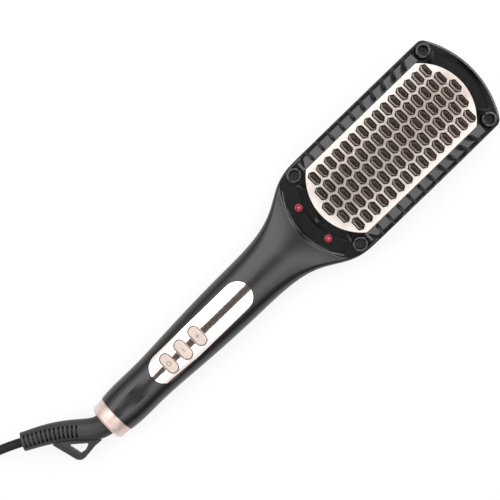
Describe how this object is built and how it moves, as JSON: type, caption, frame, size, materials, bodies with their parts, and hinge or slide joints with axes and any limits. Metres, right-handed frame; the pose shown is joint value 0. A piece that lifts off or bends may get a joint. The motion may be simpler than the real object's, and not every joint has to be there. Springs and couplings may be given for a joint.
{
  "type": "heated hair straightening brush",
  "caption": "Paddle-shaped heated brush with a honeycomb plate, capped metal teeth, guard spikes, three press buttons, swivel cord guard with hanging loop, coiled mains cord and plug.",
  "frame": {"origin": "middle of the brush's length and width, on the surface its back lies on", "axes": "+Y along the handle to the tip of the head, +Z the way the teeth point, +X to the right seen from the teeth's side with the head up"},
  "size_m": [0.0854, 0.5, 0.035],
  "materials": {
    "black_shell": "satin black moulding",
    "guard_black": "fine matt black",
    "rose_plate": "pale rose metallic",
    "cast_metal": "bright die-cast",
    "cap_brown": "glossy dark brown",
    "heater_ceramic": "white ceramic",
    "mica": "mica sheet",
    "steel": "zinc plated",
    "sensor_glass": "glass bead",
    "fuse_metal": "plated case",
    "lamp_red": "glowing red lens",
    "circuit_board": "green laminate",
    "module_dark": "potted module",
    "needle_steel": "needle",
    "panel_mirror": "mirror rose gold",
    "button_rose": "satin rose beige",
    "trim_polished": "polished rose",
    "tail_rose": "brushed rose gold",
    "socket_white": "natural nylon",
    "core_black": "black nylon",
    "brass_contact": "contact ring",
    "rubber_black": "soft black rubber",
    "tie_black": "soft tie",
    "plug_black": "moulded black",
    "pin_nickel": "nickel plated"
  },
  "bodies": {
    "brush": {"back_shell": "black_shell", "handle_front_shell": "black_shell", "head_frame": "black_shell", "guard_fins": "guard_black", "face_plate": "rose_plate", "heater_casting": "cast_metal", "casting_teeth": "cast_metal", "tooth_caps": "cap_brown", "heater_strip_left": "heater_ceramic", "heater_strip_right": "heater_ceramic", "mica_sheet": "mica", "heater_clamp": "steel", "head_screws": "steel", "handle_screws": "steel", "temperature_sensor": "sensor_glass", "thermal_fuse": "fuse_metal", "lamp_left": "lamp_red", "lamp_right": "lamp_red", "lamp_board": "circuit_board", "control_board": "circuit_board", "ion_generator": "module_dark", "power_relay": "module_dark", "capacitor": "module_dark", "switches": "module_dark", "ion_needle": "needle_steel", "control_panel": "panel_mirror", "power_button_trim": "trim_polished", "minus_button_trim": "trim_polished", "plus_button_trim": "trim_polished", "tail_ring": "tail_rose", "swivel_socket": "socket_white", "cord_lead": "rubber_black", "cord_coil": "rubber_black", "cord_tail": "rubber_black", "cord_tie": "tie_black", "plug": "plug_black", "plug_pins": "pin_nickel"},
    "swivel": {"cord_guard": "rubber_black", "swivel_core": "core_black", "slip_rings": "brass_contact"},
    "power_button": {"power_button": "button_rose"},
    "minus_button": {"minus_button": "button_rose"},
    "plus_button": {"plus_button": "button_rose"}
  },
  "joints": [
    {"name": "power_press", "type": "slide", "parent": "brush", "child": "power_button", "axis": [0, 0, -1], "range_m": [0, 0.0006], "stiffness_N_per_m": 800, "springref_m": -0.0002},
    {"name": "minus_press", "type": "slide", "parent": "brush", "child": "minus_button", "axis": [0, 0, -1], "range_m": [0, 0.0006], "stiffness_N_per_m": 800, "springref_m": -0.0002},
    {"name": "plus_press", "type": "slide", "parent": "brush", "child": "plus_button", "axis": [0, 0, -1], "range_m": [0, 0.0006], "stiffness_N_per_m": 800, "springref_m": -0.0002},
    {"name": "cord_swivel", "type": "hinge", "parent": "brush", "child": "swivel", "pos_m": [0, -0.139, 0.0122], "axis": [0, 1, 0], "continuous": true}
  ]
}
